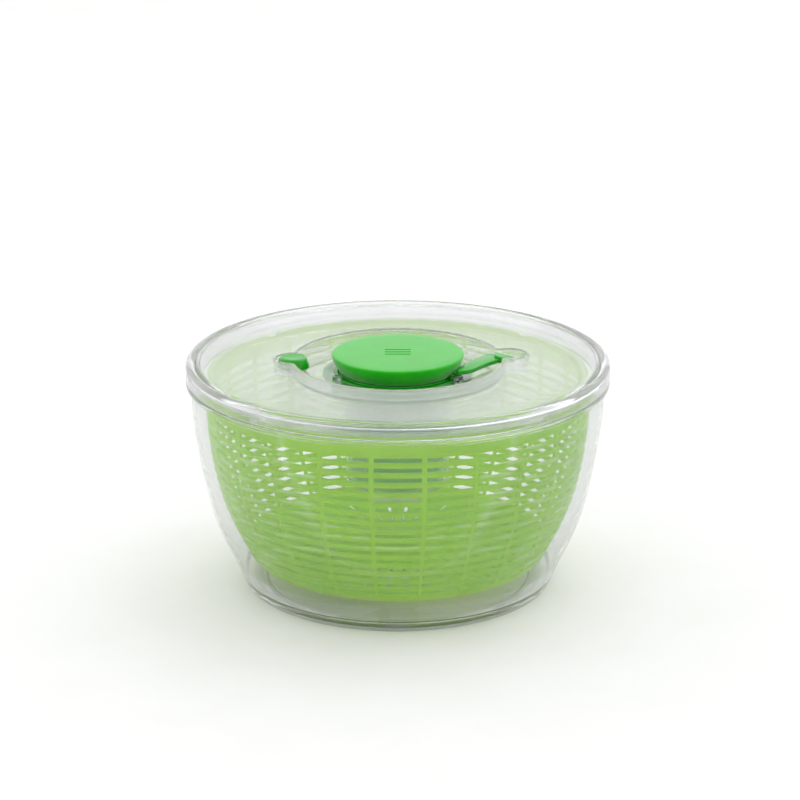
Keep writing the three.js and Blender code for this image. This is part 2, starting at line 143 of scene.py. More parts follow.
def slab(plan, bottom, top, edge=0.0, under=0.0):
    # a flat body with the given plan; its top edge, and its lower one if asked, is rolled over
    plan = [np.array(p, float) for p in plan]
    if sum(plan[i - 1][0] * plan[i][1] - plan[i][0] * plan[i - 1][1] for i in range(len(plan))) < 0:
        plan = plan[::-1]
    count = len(plan)
    inward = []
    for i in range(count):
        a, b = plan[i] - plan[i - 1], plan[(i + 1) % count] - plan[i]
        na, nb = np.array((-a[1], a[0])), np.array((-b[1], b[0]))
        mean = na / np.linalg.norm(na) + nb / np.linalg.norm(nb)
        inward.append(mean / max(np.linalg.norm(mean), 1e-6))
    levels = []
    if under:
        levels += [(under, bottom), (under * 0.3, bottom + under * 0.3), (0, bottom + under)]
    else:
        levels.append((0, bottom))
    if edge:
        levels += [(0, top - edge), (edge * 0.12, top - edge * 0.5), (edge * 0.5, top - edge * 0.12),
            (edge, top)]
    else:
        levels.append((0, top))
    vertices = [(*(p + n * inset), z) for inset, z in levels for p, n in zip(plan, inward)]
    faces = [list(range(count))[::-1], list(range(count * (len(levels) - 1), count * len(levels)))]
    for level in range(len(levels) - 1):
        for i in range(count):
            n = (i + 1) % count
            base = level * count
            faces.append([base + i, base + n, base + count + n, base + count + i])
    return vertices, faces


def tube(path, radius, sides=12):
    # a round wire along a list of points, with flat ends
    points = [Vector(p) for p in path]
    vertices, faces = [], []
    for i, point in enumerate(points):
        along = (points[min(i + 1, len(points) - 1)] - points[max(i - 1, 0)]).normalized()
        side = along.cross(Vector((0, 0, 1))).normalized()
        up = side.cross(along)
        for k in range(sides):
            a = 2 * math.pi * k / sides
            vertices.append(tuple(point + side * radius * math.cos(a) + up * radius * math.sin(a)))
        if i:
            base = (i - 1) * sides
            for k in range(sides):
                n = (k + 1) % sides
                faces.append([base + k, base + n, base + sides + n, base + sides + k])
    faces.append(list(range(sides))[::-1])
    faces.append(list(range(len(vertices) - sides, len(vertices))))
    return vertices, faces


def toMesh(name, parts, weld=0.002):
    # joins parts into one mesh in metres, with its faces pointing out
    vertices, faces = [], []
    for partVertices, partFaces in parts:
        base = len(vertices)
        vertices += [tuple(c * mm for c in v) for v in partVertices]
        faces += [[base + i for i in face] for face in partFaces]
    mesh = bpy.data.meshes.new(name)
    mesh.from_pydata(vertices, [], faces)
    shape = bmesh.new()
    shape.from_mesh(mesh)
    bmesh.ops.remove_doubles(shape, verts=shape.verts, dist=weld * mm)
    bmesh.ops.recalc_face_normals(shape, faces=shape.faces)
    shape.to_mesh(mesh)
    shape.free()
    return mesh


def carve(mesh, tools, operation="DIFFERENCE"):
    # cuts the tools out of a mesh, or fuses them to it
    base = bpy.data.objects.new("carving", mesh)
    bpy.context.scene.collection.objects.link(base)
    cutters = []
    for tool in tools:
        cutter = bpy.data.objects.new("cutter", toMesh("cutter", [tool]))
        bpy.context.scene.collection.objects.link(cutter)
        cutters.append(cutter)
        change = base.modifiers.new("carve", "BOOLEAN")
        change.object, change.operation, change.solver = cutter, operation, "EXACT"
    bpy.context.view_layer.update()
    made = bpy.data.meshes.new_from_object(base.evaluated_get(bpy.context.evaluated_depsgraph_get()))
    made.name = mesh.name
    for thing in [base, *cutters]:
        bpy.data.objects.remove(thing)
    return made


def finishMesh(mesh, sharpAngle=35):
    mesh.shade_smooth()
    mesh.set_sharp_from_angle(angle=math.radians(sharpAngle))
    return mesh


def addPiece(name, mesh, material, body, replaced, sharpAngle=35):
    piece = bpy.data.objects.new(name, finishMesh(mesh, sharpAngle))
    bpy.context.scene.collection.objects.link(piece)
    piece.data.materials.clear()
    piece.data.materials.append(material)
    if isinstance(body, str):
        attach(piece, body)
    else:
        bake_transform(piece)
    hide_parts(replaced)
    return piece


def hexColour(text):
    # an sRGB hex colour as the linear numbers that shaders take
    values = [int(text[i:i + 2], 16) / 255 for i in (1, 3, 5)]
    return (*[v / 12.92 if v <= 0.04045 else ((v + 0.055) / 1.055) ** 2.4 for v in values], 1.0)


def newMaterial(name):
    material = bpy.data.materials.new(name)
    material.use_nodes = True
    material.node_tree.nodes.clear()
    return material, material.node_tree


def addNode(tree, kind, settings=None, **inputs):
    # adds a node; an input is a value, a node whose first output is linked, or one of its outputs
    node = tree.nodes.new("ShaderNode" + kind)
    for key, value in (settings or {}).items():
        setattr(node, key, value)
    for key, value in inputs.items():
        socket = node.inputs[int(key[5:])] if key.startswith("input") else node.inputs[key.replace("_", " ")]
        if isinstance(value, bpy.types.Node):
            tree.links.new(value.outputs[0], socket)
        elif isinstance(value, bpy.types.NodeSocket):
            tree.links.new(value, socket)
        else:
            socket.default_value = value
    return node


def perMillimetre(size):
    # a noise scale whose features are about this many millimetres across
    return 1 / (size * mm)


noiseSpan = {"From_Min": 0.3, "From_Max": 0.7}  # where most of a noise pattern's values lie
colourMix = {"data_type": "RGBA"}


def openToShadows(tree, shader, passed, straight=0.0):
    # lets the lamps through, and a share of what is seen passes straight on as in a thin wall
    clear = addNode(tree, "BsdfTransparent", Color=passed)
    seen = addNode(tree, "MixShader", Fac=straight, input1=shader, input2=clear) if straight else shader
    path = addNode(tree, "LightPath")
    mixed = addNode(tree, "MixShader", Fac=path.outputs["Is Shadow Ray"], input1=seen, input2=clear)
    addNode(tree, "OutputMaterial", Surface=mixed)


def clearMouldedSan():
    # clear styrene-acrylonitrile from a polished mould: fine bright lines, with faint flow haze
    material, tree = newMaterial("clearMouldedSan")
    place = addNode(tree, "TexCoord").outputs["Object"]
    haze = addNode(tree, "TexNoise", Vector=place, Scale=perMillimetre(30), Detail=3.0)
    ripple = addNode(tree, "TexNoise", Vector=place, Scale=perMillimetre(22), Detail=1.0)
    bump = addNode(tree, "Bump", Strength=0.06, Distance=0.4 * mm, Height=ripple)
    rough = addNode(tree, "MapRange", None, Value=haze, To_Min=0.006, To_Max=0.03, **noiseSpan)
    shader = addNode(tree, "BsdfPrincipled", None, Base_Color=hexColour("#F8F8FB"), Transmission_Weight=1.0,
                     IOR=1.5, Roughness=rough, Normal=bump)
    openToShadows(tree, shader, hexColour("#FDFDFE"), 0.12)
    return material


def frostedPolypropylene():
    # natural polypropylene from a spark-eroded mould: milky, and it softens what is behind it
    material, tree = newMaterial("frostedPolypropylene")
    place = addNode(tree, "TexCoord").outputs["Object"]
    cloud = addNode(tree, "TexNoise", Vector=place, Scale=perMillimetre(18), Detail=4.0)
    grain = addNode(tree, "TexNoise", Vector=place, Scale=perMillimetre(0.9), Detail=2.0)
    bump = addNode(tree, "Bump", Strength=0.12, Distance=0.1 * mm, Height=grain)
    rough = addNode(tree, "MapRange", None, Value=cloud, To_Min=0.06, To_Max=0.1, **noiseSpan)
    shader = addNode(tree, "BsdfPrincipled", None, Base_Color=hexColour("#FFFFFE"), Transmission_Weight=0.9,
                     IOR=1.3, Roughness=rough, Normal=bump)
    openToShadows(tree, shader, hexColour("#FDFEFC"), 0.5)
    return material


def greenBasketPolypropylene():
    # dyed polypropylene, satin outside and lit up from within where light comes through the wall
    material, tree = newMaterial("greenBasketPolypropylene")
    place = addNode(tree, "TexCoord").outputs["Object"]
    flow = addNode(tree, "TexNoise", Vector=place, Scale=perMillimetre(26), Detail=3.0, Roughness=0.5)
    grain = addNode(tree, "TexNoise", Vector=place, Scale=perMillimetre(1.4), Detail=2.0)
    share = addNode(tree, "MapRange", None, Value=flow, **noiseSpan)
    shade = addNode(tree, "Mix", colourMix, Factor=share, input6=hexColour("#7CC434"),
        input7=hexColour("#8CD042"))
    bump = addNode(tree, "Bump", Strength=0.1, Distance=0.1 * mm, Height=grain)
    rough = addNode(tree, "MapRange", None, Value=flow, To_Min=0.24, To_Max=0.34, **noiseSpan)
    skin = addNode(tree, "BsdfPrincipled", None, Base_Color=shade.outputs[2], IOR=1.49, Roughness=rough,
        Normal=bump)
    glow = addNode(tree, "BsdfTranslucent", Color=hexColour("#ECFC58"))
    mixed = addNode(tree, "MixShader", Fac=0.5, input1=skin, input2=glow)
    openToShadows(tree, mixed, hexColour("#F4F6EC"))
    return material


def softTouchElastomer():
    # thermoplastic elastomer from a fine-blasted mould: matt, and pale where light grazes it
    material, tree = newMaterial("softTouchElastomer")
    place = addNode(tree, "TexCoord").outputs["Object"]
    grain = addNode(tree, "TexNoise", Vector=place, Scale=perMillimetre(0.6), Detail=3.0)
    cloud = addNode(tree, "TexNoise", Vector=place, Scale=perMillimetre(14), Detail=2.0)
    share = addNode(tree, "MapRange", None, Value=cloud, **noiseSpan)
    shade = addNode(tree, "Mix", colourMix, Factor=share, input6=hexColour("#14B600"),
        input7=hexColour("#1EBE02"))
    bump = addNode(tree, "Bump", Strength=0.25, Distance=0.08 * mm, Height=grain)
    rough = addNode(tree, "MapRange", None, Value=grain, To_Min=0.42, To_Max=0.54, **noiseSpan)
    shader = addNode(tree, "BsdfPrincipled", None, Base_Color=shade.outputs[2], IOR=1.5, Roughness=rough,
                     Normal=bump, Specular_IOR_Level=0.25, Sheen_Weight=0.6, Sheen_Roughness=0.4)
    addNode(tree, "OutputMaterial", Surface=shader)
    return material


def greenMouldedAbs():
    # dyed ABS from a polished mould: even colour and soft bright highlights
    material, tree = newMaterial("greenMouldedAbs")
    flow = addNode(tree, "TexNoise", Vector=addNode(tree, "TexCoord").outputs["Object"],
        Scale=perMillimetre(9),
                   Detail=3.0)
    share = addNode(tree, "MapRange", None, Value=flow, **noiseSpan)
    shade = addNode(tree, "Mix", colourMix, Factor=share, input6=hexColour("#12A512"),
        input7=hexColour("#1CAE1A"))
    rough = addNode(tree, "MapRange", None, Value=flow, To_Min=0.16, To_Max=0.24, **noiseSpan)
    shader = addNode(tree, "BsdfPrincipled", None, Base_Color=shade.outputs[2], IOR=1.53, Roughness=rough)
    addNode(tree, "OutputMaterial", Surface=shader)
    return material


def greyElastomer():
    # moulded non-slip elastomer: dull grey, with a fine blasted grain
    material, tree = newMaterial("greyElastomer")
    grain = addNode(tree, "TexNoise", Vector=addNode(tree, "TexCoord").outputs["Object"],
        Scale=perMillimetre(0.7),
                    Detail=3.0)
    share = addNode(tree, "MapRange", None, Value=grain, **noiseSpan)
    shade = addNode(tree, "Mix", colourMix, Factor=share, input6=hexColour("#C3C7C6"),
        input7=hexColour("#D0D3D2"))
    bump = addNode(tree, "Bump", Strength=0.3, Distance=0.08 * mm, Height=grain)
    shader = addNode(tree, "BsdfPrincipled", None, Base_Color=shade.outputs[2], IOR=1.47, Roughness=0.62,
        Normal=bump)
    addNode(tree, "OutputMaterial", Surface=shader)
    return material


def whiteAcetal():
    # natural acetal: waxy white, slightly uneven where the moulded skin cooled
    material, tree = newMaterial("whiteAcetal")
    cloud = addNode(tree, "TexNoise", Vector=addNode(tree, "TexCoord").outputs["Object"],
        Scale=perMillimetre(7),
                    Detail=3.0)
    share = addNode(tree, "MapRange", None, Value=cloud, **noiseSpan)
    shade = addNode(tree, "Mix", colourMix, Factor=share, input6=hexColour("#EFEDE4"),
        input7=hexColour("#F8F7F1"))
    rough = addNode(tree, "MapRange", None, Value=cloud, To_Min=0.3, To_Max=0.42, **noiseSpan)
    shader = addNode(tree, "BsdfPrincipled", None, Base_Color=shade.outputs[2], IOR=1.48, Roughness=rough)
    addNode(tree, "OutputMaterial", Surface=shader)
    return material


def stainlessSteel():
    # drawn stainless wire and turned screws: bright, with fine lines from the die and the lathe
    material, tree = newMaterial("stainlessSteel")
    drawn = addNode(tree, "Mapping", Vector=addNode(tree, "TexCoord").outputs["Object"], Scale=(1, 1, 6))
    lines = addNode(tree, "TexNoise", Vector=drawn, Scale=perMillimetre(0.8), Detail=3.0)
    bump = addNode(tree, "Bump", Strength=0.15, Distance=0.04 * mm, Height=lines)
    rough = addNode(tree, "MapRange", None, Value=lines, To_Min=0.18, To_Max=0.32, **noiseSpan)
    shader = addNode(tree, "BsdfPrincipled", None, Base_Color=hexColour("#C9CBCD"), Metallic=1.0,
        Roughness=rough,
                     Normal=bump)
    addNode(tree, "OutputMaterial", Surface=shader)
    return material


def paintedBoard():
    # matt white board under the spinner
    material, tree = newMaterial("paintedBoard")
    grain = addNode(tree, "TexNoise", Vector=addNode(tree, "TexCoord").outputs["Object"],
        Scale=perMillimetre(60),
                    Detail=2.0)
    share = addNode(tree, "MapRange", None, Value=grain, **noiseSpan)
    shade = addNode(tree, "Mix", colourMix, Factor=share, input6=hexColour("#F6F6F5"),
        input7=hexColour("#F8F8F8"))
    shader = addNode(tree, "BsdfPrincipled", None, Base_Color=shade.outputs[2], Roughness=0.8,
        Specular_IOR_Level=0.0)
    addNode(tree, "OutputMaterial", Surface=shader)
    return material


clearSan = clearMouldedSan()
frosted = frostedPolypropylene()
basketGreen = greenBasketPolypropylene()
softGreen = softTouchElastomer()
hardGreen = greenMouldedAbs()
softGrey = greyElastomer()
acetal = whiteAcetal()
steel = stainlessSteel()
print("materials ready")


bowlShape = {
    "wall": 2.4, "rimRadius": 133.5, "rimTop": 135.6, "floorTop": 5.0, "pivotTop": 23.6,
    "side": [(99.0, 1.2), (104.8, 15), (119.0, 50), (128.5, 100), (130.6, 131.2)],
}


def bowl():
    s = bowlShape
    inside = [p for p in smoothCurve(s["side"], 8, s["wall"]) if p[1] > s["floorTop"] + 3][::-1]
    rim = s["rimRadius"]
    outline = [
        (0, 2.4), (84.6, 2.4, 0.6), (86, 0.8, 0.3), (87.4, 0.8, 0.2), (87.4, 3.3), (94.2, 3.3),
        (94.2, 0.8, 0.3),
        *smoothCurve(s["side"], 8),
        (rim - 0.3, 131.9, 0.3), (rim, 132.8, 0.4), (rim, 135, 0.3), (rim - 0.5, s["rimTop"], 0.4),
        (129.2, s["rimTop"], 0.4), (128.3, 134.6, 0.4), *inside,
        (92, 6.4, 1.5), (88.5, s["floorTop"], 1.5), (16, s["floorTop"], 3), (9, 6, 2), (5.6, 18, 3),
        (4, 22.4, 1), (0, s["pivotTop"]),
    ]
    addPiece("bowl_shell", toMesh("bowl_shell", [turned(outline, 216)]), clearSan, "bowl",
        "bowl")


footShape = {"inner": 87.7, "outer": 93.9, "height": 3.0, "grooves": (89.4, 90.8, 92.2)}


def footRing():
    # a soft ring with three grip grooves underneath
    s = footShape
    outline = [(s["inner"], s["height"]), (s["inner"], 0.6, 0.3), (s["inner"] + 0.6, 0, 0.3)]
    for groove in s["grooves"]:
        outline += [(groove - 0.25, 0, 0.1), (groove, 0.35, 0.1), (groove + 0.25, 0, 0.1)]
    outline += [(s["outer"] - 0.6, 0, 0.3), (s["outer"], 0.6, 0.3), (s["outer"], s["height"])]
    addPiece("bowl_foot", toMesh("bowl_foot", [turned(outline, 192)]), softGrey, "bowl",
        "foot_ring")


bowl()
footRing()
print("bowl ready")


basketShape = {
    "topRadius": 120.3, "wall": 1.8, "straightFrom": 112.0, "narrowing": 24.3, "narrowingHeight": 90, "top": 135.0,
    "ribs": 24, "ribHalfWidth": 1.5, "rows": 16, "firstCell": 23.5, "lastCell": 122.5,
    "slotHeights": (2.4, 2.8), "slotCorner": 0.6, "barCrown": 0.6, "ribCrown": 0.2, "notchHalfWidth": 3.5,
    "notchBottom": 133.4, "floorSlots": 36,
    "columnAngle": 0.077,  # radians from a cell's middle to the extra column of points at each side
}


def basketRadius(z):
    s = basketShape
    drop = max(0.0, s["straightFrom"] - z) / s["narrowingHeight"]
    return s["topRadius"] - s["narrowing"] * drop * drop


def slotLoop(halfAngle, halfHeight, corner, between, level):
    # one turn round a slot: points as (angle, height above the slot's middle)
    radius = basketRadius(level)
    ca = corner / radius
    loop = []
    for right, up in ((1, -1), (1, 1), (-1, 1), (-1, -1)):
        for k in range(4):
            t = math.pi / 2 * (k / 3)
            first, second = (math.cos(t), math.sin(t)) if right * up > 0 else (math.sin(t), math.cos(t))
            loop.append((right * (halfAngle - ca + ca * first), up * (halfHeight - corner + corner * second)))
        if (right, up) == (1, 1):
            loop += [(a, halfHeight) for a in between[::-1]]
        if (right, up) == (-1, -1):
            loop += [(a, -halfHeight) for a in between]
    return loop


def basketWallCells(notchAngle):
    # the pierced wall: rings of points run from each cell's edge into its slot and out again inside
    s = basketShape
    between = [-s["columnAngle"], -notchAngle, notchAngle, s["columnAngle"]]
    cellAngle = math.pi / s["ribs"]
    slotAngle = cellAngle - s["ribHalfWidth"] / s["topRadius"]
    pitch = (s["lastCell"] - s["firstCell"]) / s["rows"]
    wall, corner = s["wall"], s["slotCorner"]
    rings = [  # distance outside the slot's edge, or None for the cell's edge, and depth in the wall
        (None, None), (0.62, -0.16), (0.2, 0.06), (0, 0.42), (0, wall - 0.6), (0.28, wall - 0.1),
        (None, wall),
    ]
    vertices, faces = [], []
    for rib in range(s["ribs"]):
        middle = 2 * cellAngle * rib
        for row in range(s["rows"]):
            level = s["firstCell"] + pitch * (row + 0.5)
            low, high = s["slotHeights"]  # the slots grow taller up to the middle of the wall
            halfSlot = (low + (high - low) * min(1, row / (s["rows"] * 0.5))) / 2
            base = len(vertices)
            for out, depth in rings:
                if out is None:
                    loop = slotLoop(cellAngle, pitch / 2, 0, between, level)
                else:
                    loop = slotLoop(slotAngle + out / basketRadius(level), halfSlot + out, corner + out,
                        between, level)
                for angle, rise in loop:
                    d = depth
                    if d is None:
                        d = -s["ribCrown"] if abs(angle) > cellAngle - 1e-6 else -s["barCrown"]
                    z = level + rise
                    vertices.append(circlePoint(basketRadius(z) - d, middle + angle, z))
            count = len(slotLoop(cellAngle, pitch / 2, 0, between, level))
            for ring in range(len(rings) - 1):
                for k in range(count):
                    n = (k + 1) % count
                    a = base + ring * count
                    faces.append([a + k, a + n, a + count + n, a + count + k])
    return vertices, faces


def basketBand(profile, firstDepths, lastDepths, notchAngle, notchRows=None):
    # a solid band that closes the pierced wall at its top or bottom edge, on the same columns
    s = basketShape
    cellAngle = math.pi / s["ribs"]
    columns = []
    for rib in range(s["ribs"]):
        middle = 2 * cellAngle * rib
        side = s["columnAngle"]
        columns += [middle + a for a in (-cellAngle, -side, -notchAngle, notchAngle, side)]
    vertices, faces = [], []
    for i, (radius, z) in enumerate(profile):
        for k, angle in enumerate(columns):
            edges = firstDepths if i == 0 else lastDepths if i == len(profile) - 1 else (0, 0)
            vertices.append(circlePoint(radius - edges[0 if k % 5 == 0 else 1], angle, z))
    count = len(columns)
    for k in range(count):
        n = (k + 1) % count
        notched = notchRows and k % 5 == 2 and (k // 5) % 6 == 3
        for i in range(len(profile) - 1):
            if notched and notchRows[0] <= i < notchRows[1]:
                continue
            faces.append([i * count + k, i * count + n, (i + 1) * count + n, (i + 1) * count + k])
        if notched:
            low, high = notchRows
            faces.append([low * count + k, low * count + n, high * count + n, high * count + k])
            faces += [[i * count + end for i in range(low, high + 1)] for end in (k, n)]
    return vertices, faces


def basket():
    s = basketShape
    notchAngle = s["notchHalfWidth"] / s["topRadius"]
    top, wall, radius = s["top"], s["wall"], s["topRadius"]
    crowns = (-s["ribCrown"], -s["barCrown"])
    upper = [
        (radius, s["lastCell"]), (radius, s["lastCell"] + 0.8), (radius, s["notchBottom"]),
        (radius, top - 0.7),
        (radius - 0.2, top - 0.2), (radius - 0.6, top), (radius - wall + 0.6, top),
        (radius - wall + 0.2, top - 0.2),
        (radius - wall, top - 0.7), (radius - wall, s["notchBottom"]), (radius - wall, s["lastCell"]),
    ]
    low = s["firstCell"]
    lower = [
        (basketRadius(low), low), (basketRadius(low - 0.8), low - 0.8), (basketRadius(21.4) - 0.1, 21.4),
        (94.7, 20.4), (93.4, 19.6), (91, 19.1), (89, 19), (89, 20.8), (91.6, 21.2), (93.4, 22.2),
        (basketRadius(low) - wall, low),
    ]
    parts = [
        basketWallCells(notchAngle),
        basketBand(upper, crowns, (0, 0), notchAngle, (2, 9)),
        basketBand(lower, crowns, (0, 0), notchAngle),
    ]
    side = toMesh("basket_side", parts, 0.01)
    floorPart = [
        (0, 25), (5.2, 25, 0.4), (7.4, 19.6, 0.5), (8.4, 19, 0.4), (89.6, 19.1), (89.6, 20.7),
        (12, 20.8, 1.2), (9.4, 27.4, 0.6), (0, 27.4),
    ]
    floorMesh = toMesh("basket_floor", [turned(floorPart, 96)])
    slots = [moved(slab([(35, -0.9), (81, -1.4), (82, -0.7), (82, 0.7), (81, 1.4), (35, 0.9), (34, 0.4),
        (34, -0.4)],
                        18, 22), turn=a) for a in evenAngles(s["floorSlots"], math.radians(5))]
    floorMesh = carve(floorMesh, slots)
    joined = bmesh.new()
    joined.from_mesh(side)
    joined.from_mesh(floorMesh)
    joined.to_mesh(side)
    joined.free()
    addPiece("basket_colander", side, basketGreen, "basket", "basket", 50)


basket()
print("basket ready")


lidShape = {
    "top": 145.7, "wall": 1.8, "recessRadius": 65.6, "recessFloor": 137.0, "holeRadius": 40.3,
    "rimRadius": 133.5,
    "lobes": [(-66.0, 0.0, 11.0), (70.8, 10.0, 11.0)], "blend": 4.0, "screwCircle": 43.6,
    "screwAngles": (-30, 90, 210),
}


def recessDistance(x, y):
    # how far a point lies outside the recess: a circle that runs smoothly into two round lobes
    s = lidShape
    distance = np.hypot(x, y) - s["recessRadius"]
    for cx, cy, radius in s["lobes"]:
        lobe = np.hypot(x - cx, y - cy) - radius
        near = np.maximum(s["blend"] - np.abs(distance - lobe), 0) / s["blend"]
        distance = np.minimum(distance, lobe) - near ** 2 * s["blend"] / 4
    return distance


def recessWarp(radius, angles):
    # carries a radius of the plain round recess to the lobed one, fading out away from its wall
    s = lidShape
    offset = radius - s["recessRadius"]
    share = np.clip((radius - 49) / 13, 0, 1) if offset < 0 else np.clip((100 - radius) / 30, 0, 1)
    angles = np.array(angles)
    if share == 0:
        return [radius] * len(angles)
    kept = min(offset, 6.0) if offset > 0 else max(offset, -4.0)
    low, high = np.full(len(angles), 40.0), np.full(len(angles), 112.0)
    for _ in range(26):
        middle = (low + high) / 2
        outside = recessDistance(middle * np.cos(angles), middle * np.sin(angles)) > kept
        high, low = np.where(outside, middle, high), np.where(outside, low, middle)
    found = (low + high) / 2 + (offset - kept)
    share = share * share * (3 - 2 * share)
    return list(radius + share * (found - radius))


def lidAngles():
    # columns are close together where the lobes' flanks are steep
    lobes = [math.atan2(y, x) % (2 * math.pi) for x, y, _ in lidShape["lobes"]]
    angles, angle = [], 0.0
    while angle < 2 * math.pi - 1e-4:
        angles.append(angle)
        away = min(abs((angle - lobe + math.pi) % (2 * math.pi) - math.pi) for lobe in lobes)
        angle += math.radians(0.6 if away < math.radians(17) else 2.0)
    return angles


def screwPlaces():
    s = lidShape
    return [circlePoint(s["screwCircle"], math.radians(a), 0)[:2] for a in s["screwAngles"]]


def lid():
    s = lidShape
    rim, top, floor, wall = s["rimRadius"], s["top"], s["recessFloor"], s["wall"]
    recess = s["recessRadius"]
    bead = []
    for k in range(11):
        a = math.pi * 0.86 * (1 - k / 10)
        bead.append((rim - 3 + 3 * math.cos(a), 143 + 3.4 * math.sin(a)))
    outline = [
        (s["holeRadius"], floor - wall, 0.3), (s["holeRadius"], floor, 0.5), (50, floor), (58, floor),
        (recess - 0.5, floor, 0.4), (recess - 0.1, top, 0.35), (recess + 4, top), (78, top), (90, top),
        (100, top),
        (115, top), (126.4, top, 1.2), *bead, (rim, 135.9, 0.4), (131.6, 135.9, 0.3), (131.6, 141.4, 0.5),
        (130.6, 142.6, 0.5), (127.2, 142.2, 0.4), (127.2, 131.6, 0.6), (125, 131.6, 0.6),
        (125, top - wall, 1),
        (115, top - wall), (100, top - wall), (90, top - wall), (78, top - wall), (recess + 5, top - wall),
        (recess + 1.5, top - wall, 0.4), (recess + 1.1, floor - wall, 0.5), (58, floor - wall),
        (50, floor - wall),
    ]
    shell = toMesh("lid_shell", [turned(outline, lidAngles(), recessWarp)])
    brakeX = s["lobes"][0][0]
    bosses = [moved(turned([(0, floor - 1), (8.5, floor - 1), (8.5, 139.5, 0.5), (0, 139.5)], 64), brakeX)]
    bosses += [moved(turned([(0, floor - 1), (3.1, floor - 1), (2.9, 140.4, 0.6), (0, 140.4)], 48), x, y)
               for x, y in screwPlaces()]
    shell = carve(shell, bosses, "UNION")
    bores = [moved(turned([(0, 133), (7, 133), (7, 137.9), (3.2, 137.9), (3.2, 142), (0, 142)], 64), brakeX)]
    bores += [moved(turned([(0, 133), (1.5, 133), (1.5, 137.3), (0, 137.7)], 32), x, y) for x,
        y in screwPlaces()]
    shell = carve(shell, bores)
    addPiece("lid_shell", shell, clearSan, "lid", "lid", 40)


lid()
print("lid ready")


housingShape = {"radius": 30.5, "bottom": 66.5, "wall": 2.2, "ribs": 12, "ribPhase": 0.13, "flangeRadius": 47.5}


def mechanismHousing():
    s = housingShape
    outer, low, inside = s["radius"], s["bottom"], s["radius"] - s["wall"]
    hole = lidShape["holeRadius"]
    outline = [
        (7.3, low + 2), (7.3, 60.4, 0.2), (10.2, 60.4, 0.2), (10.2, 61.2), (9.4, 61.8), (9.4, 63.2),
        (10.2, 63.4),
        (10.2, low, 0.4), (outer - 1.5, low, 0.5), (outer, low + 1.5, 0.6), (outer, 130.4, 1),
        (s["flangeRadius"], 132.4, 0.3), (s["flangeRadius"], 134.9, 0.3), (hole - 0.3, 134.9, 0.2),
        (hole - 0.3, 137, 0.4), (hole - 2.4, 137, 0.4), (hole - 2.4, 133.8, 0.4), (inside, 132.6, 0.6),
        (inside, low + 2, 1),
    ]
    body = toMesh("mechanism_body", [turned(outline, 144)])
    seats = []
    for x, y in screwPlaces():
        seats.append(moved(turned([(0, 125), (3.6, 125), (3.6, 133.4), (1.5, 133.4), (1.5, 136), (0, 136)],
            32), x, y))
    body = carve(body, seats)
    turns = evenAngles(s["ribs"], s["ribPhase"])
    ribs = toMesh("ribs", [block(inside - 2, inside + 0.5, 1.4, low + 2, 123, a, 0.3) for a in turns])
    joined = bmesh.new()
    joined.from_mesh(body)
    joined.from_mesh(ribs)
    joined.to_mesh(body)
    joined.free()
    addPiece("mechanism_body", body, hardGreen, "lid", "mechanism_housing")


screwShape = {"headRadius": 3.2, "stemRadius": 1.2, "headBottom": 130.9, "headTop": 133.1, "tip": 137.2}


def crossCut(size, depthLow, depthHigh):
    return [slab([(-size, -0.45), (size, -0.45), (size, 0.45), (-size, 0.45)], depthLow, depthHigh),
            slab([(-0.45, -size), (0.45, -size), (0.45, size), (-0.45, size)], depthLow, depthHigh)]


def housingScrews():
    s = screwShape
    outline = [(0, s["headBottom"]), (2.2, s["headBottom"], 0.5), (s["headRadius"], 131.6, 0.4),
               (s["headRadius"], s["headTop"], 0.2), (s["stemRadius"], s["headTop"], 0.2)]
    z = s["headTop"] + 0.4
    while z < s["tip"] - 1:
        outline += [(s["stemRadius"] + 0.15, z + 0.35), (s["stemRadius"] - 0.1, z + 0.7)]
        z += 0.7
    outline.append((0, s["tip"]))
    for i, (x, y) in enumerate(screwPlaces()):
        name = f"housing_screw_{i + 1}"
        mesh = toMesh(name, [turned(outline, 40, steps=3)])
        mesh = carve(mesh, crossCut(1.7, 130, 132))
        mesh.transform(Matrix.Translation((x * mm, y * mm, 0)))
        addPiece(f"cross_head_screw_{i + 1}", mesh, steel, "lid", name)


def guideCollar():
    outline = [(13.6, 123.6, 0.3), (27.9, 123.6, 0.4), (27.9, 131, 0.3), (25.8, 131, 0.3), (25.8, 126, 0.8),
        (13.6, 126, 0.3)]
    mesh = toMesh("collar", [turned(outline, 96)])
    keyways = [block(11, 15.4, 3.8, 120, 132, a) for a in evenAngles(3, math.pi / 6)]
    addPiece("collar", carve(mesh, keyways), acetal, "lid", "guide_collar")


def bearingBush():
    outline = [(4.3, 63.4, 0.3), (7, 63.4, 0.3), (7, 68.8), (9.6, 68.8, 0.2), (9.6, 70.4, 0.3),
        (4.3, 70.4, 0.3)]
    addPiece("bush", toMesh("bush", [turned(outline, 72)]), acetal, "lid", "bearing_bush")


def retainingClip():
    mesh = toMesh("clip", [turned([(9.7, 61.9, 0.2), (15, 61.9, 0.2), (15, 63.1, 0.2), (9.7, 63.1, 0.2)],
        96)])
    gapTool = slab([(-3, 5), (3, 5), (3.6, 20), (-3.6, 20)], 60, 65)
    eyes = [moved(turned([(0, 60), (0.8, 60), (0.8, 65), (0, 65)], 24), x, 12.2) for x in (-4.4, 4.4)]
    addPiece("clip", carve(mesh, [gapTool, *eyes]), acetal, "lid", "retaining_clip")


springShape = {
    "returnWide": 26.4, "returnNarrow": 16.8, "returnLow": 69.7, "returnHigh": 74.9, "returnTurns": 4.5,
    "returnWire": 0.7, "brakeRadius": 5.2, "brakeLow": 140.2, "brakeHigh": 143.7, "brakeTurns": 2.5,
    "brakeWire": 0.35,
}


